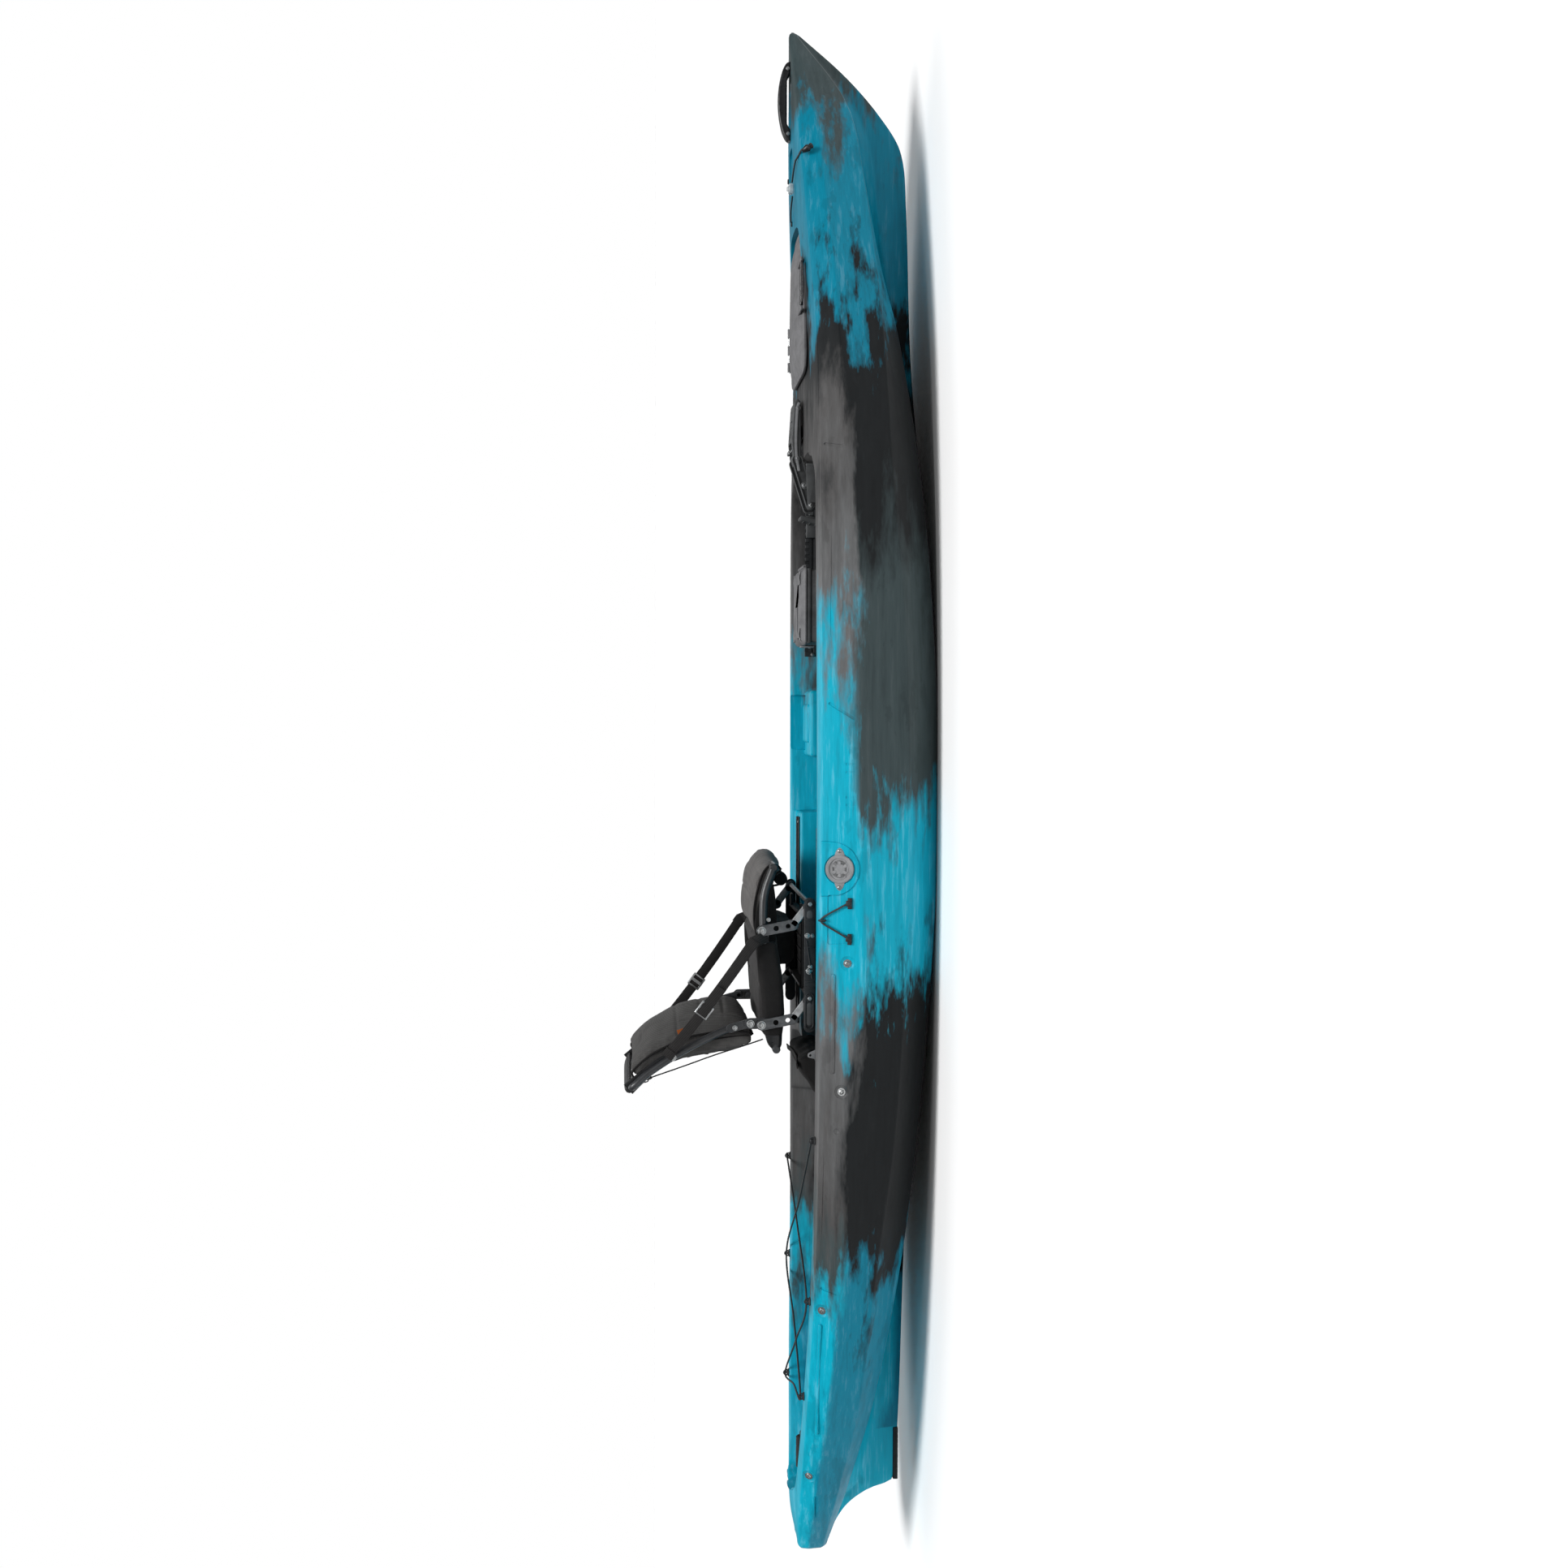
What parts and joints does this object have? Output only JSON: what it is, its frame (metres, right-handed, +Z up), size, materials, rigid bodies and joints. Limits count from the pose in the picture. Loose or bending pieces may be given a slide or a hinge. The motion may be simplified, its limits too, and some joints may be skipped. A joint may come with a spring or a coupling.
{
  "type": "pedal-ready sit-on-top fishing kayak",
  "caption": "Sit-on-top pedal-ready fishing kayak with a marbled moulded hull, open cockpit, stern tankwell, bow hatch and a raised sliding sling seat.",
  "frame": {"origin": "on the standing surface, under the middle of the overall box", "axes": "+X to the bow, +Y to port, +Z up"},
  "size_m": [4.115, 0.866, 0.7993],
  "materials": {
    "hull_plastic": "satin",
    "black_plastic": "satin",
    "grey_plastic": "satin",
    "pale_plastic": "satin",
    "rubber": "matte",
    "seat_fabric": "matte",
    "webbing": "matte",
    "coated_tube": "satin",
    "bare_alloy": "satin"
  },
  "bodies": {
    "hull": {"hull": "hull_plastic", "skid_strip": "rubber", "drain_plug": "black_plastic", "bow_handle": "rubber", "bow_cord_aft": "rubber", "bow_cord_lock": "pale_plastic", "bow_cord_fore": "rubber", "bow_toggle": "black_plastic", "side_cover_starboard": "grey_plastic", "side_cover_port": "grey_plastic", "paddle_cord_starboard": "rubber", "paddle_cord_port": "rubber", "cord_hook_1": "black_plastic", "cord_hook_2": "black_plastic", "cord_hook_3": "black_plastic", "cord_hook_4": "black_plastic", "cord_hook_5": "black_plastic", "cord_hook_6": "black_plastic", "tankwell_cord": "rubber", "stern_grip": "rubber", "stern_pouch": "webbing", "seat_rail_starboard": "black_plastic", "seat_rail_port": "black_plastic", "foot_track_starboard": "black_plastic", "foot_track_port": "black_plastic", "hatch_seal": "rubber", "yoke_bracket": "grey_plastic", "yoke_pin": "bare_alloy", "pod_box": "grey_plastic"},
    "hatch_lid": {"hatch_lid": "grey_plastic"},
    "hatch_latch": {"hatch_latch": "black_plastic"},
    "yoke": {"yoke": "grey_plastic"},
    "pod_lid": {"pod_lid": "pale_plastic", "pod_latch": "pale_plastic"},
    "foot_pedal_starboard": {"foot_pedal_starboard": "grey_plastic"},
    "foot_pedal_port": {"foot_pedal_port": "grey_plastic"},
    "seat_carriage": {"carriage_plate_starboard": "black_plastic", "carriage_plate_port": "black_plastic", "carriage_axle_front": "bare_alloy", "carriage_axle_rear": "bare_alloy", "under_seat_tray": "black_plastic"},
    "front_legs": {"front_leg_starboard": "bare_alloy", "front_leg_port": "bare_alloy"},
    "rear_legs": {"rear_leg_starboard": "bare_alloy", "rear_leg_port": "bare_alloy"},
    "seat": {"seat_frame": "coated_tube", "seat_cushion": "seat_fabric", "seat_bolster_starboard": "webbing", "seat_bolster_port": "webbing", "back_strap_starboard": "webbing", "back_strap_port": "webbing", "strap_buckle_starboard": "bare_alloy", "strap_buckle_port": "bare_alloy", "rear_cord": "rubber"},
    "height_lever": {"height_lever": "black_plastic"},
    "backrest": {"back_frame": "coated_tube", "back_cushion": "seat_fabric"}
  },
  "joints": [
    {"name": "hatch_lid_hinge", "type": "hinge", "parent": "hull", "child": "hatch_lid", "pos_m": [1.25, 0.186, 0.341], "axis": [-1, 0, 0], "range_deg": [0, 100]},
    {"name": "hatch_latch_hinge", "type": "hinge", "parent": "hatch_lid", "child": "hatch_latch", "pos_m": [1.351, -0.176, 0.344], "axis": [-1, 0, 0], "range_deg": [0, 90]},
    {"name": "yoke_hinge", "type": "hinge", "parent": "hull", "child": "yoke", "pos_m": [0.792, 0, 0.302], "axis": [0, -1, 0], "range_deg": [0, 100]},
    {"name": "pod_lid_hinge", "type": "hinge", "parent": "hull", "child": "pod_lid", "pos_m": [0.628, 0, 0.322], "axis": [0, 1, 0], "range_deg": [0, 100]},
    {"name": "foot_slide_starboard", "type": "slide", "parent": "hull", "child": "foot_pedal_starboard", "axis": [1, 0, 0], "range_m": [-0.28, 0.03]},
    {"name": "foot_slide_port", "type": "slide", "parent": "hull", "child": "foot_pedal_port", "axis": [1, 0, 0], "range_m": [-0.28, 0.03]},
    {"name": "seat_slide", "type": "slide", "parent": "hull", "child": "seat_carriage", "axis": [1, 0, 0], "range_m": [-0.05, 0.15]},
    {"name": "seat_height", "type": "hinge", "parent": "seat_carriage", "child": "front_legs", "pos_m": [-0.258, 0, 0.324], "axis": [0, -1, 0], "range_deg": [0, 22]},
    {"name": "seat_level", "type": "hinge", "parent": "front_legs", "child": "seat", "pos_m": [-0.328, 0, 0.448], "axis": [0, -1, 0], "range_deg": [-22, 0]},
    {"name": "rear_leg_swing", "type": "hinge", "parent": "seat_carriage", "child": "rear_legs", "pos_m": [-0.503, 0, 0.324], "axis": [0, -1, 0], "range_deg": [0, 22]},
    {"name": "backrest_fold", "type": "hinge", "parent": "seat", "child": "backrest", "pos_m": [-0.571, 0, 0.476], "axis": [0, 1, 0], "range_deg": [0, 80], "deforming": ["back_strap_starboard", "back_strap_port", "strap_buckle_starboard", "strap_buckle_port", "rear_cord"]},
    {"name": "height_lever_lift", "type": "hinge", "parent": "seat", "child": "height_lever", "pos_m": [-0.285, 0.262, 0.432], "axis": [0, -1, 0], "range_deg": [0, 25]}
  ],
  "couplings": [
    {"joint": "seat_level", "follows": "seat_height", "ratio": -1},
    {"joint": "rear_leg_swing", "follows": "seat_height", "ratio": 1}
  ]
}
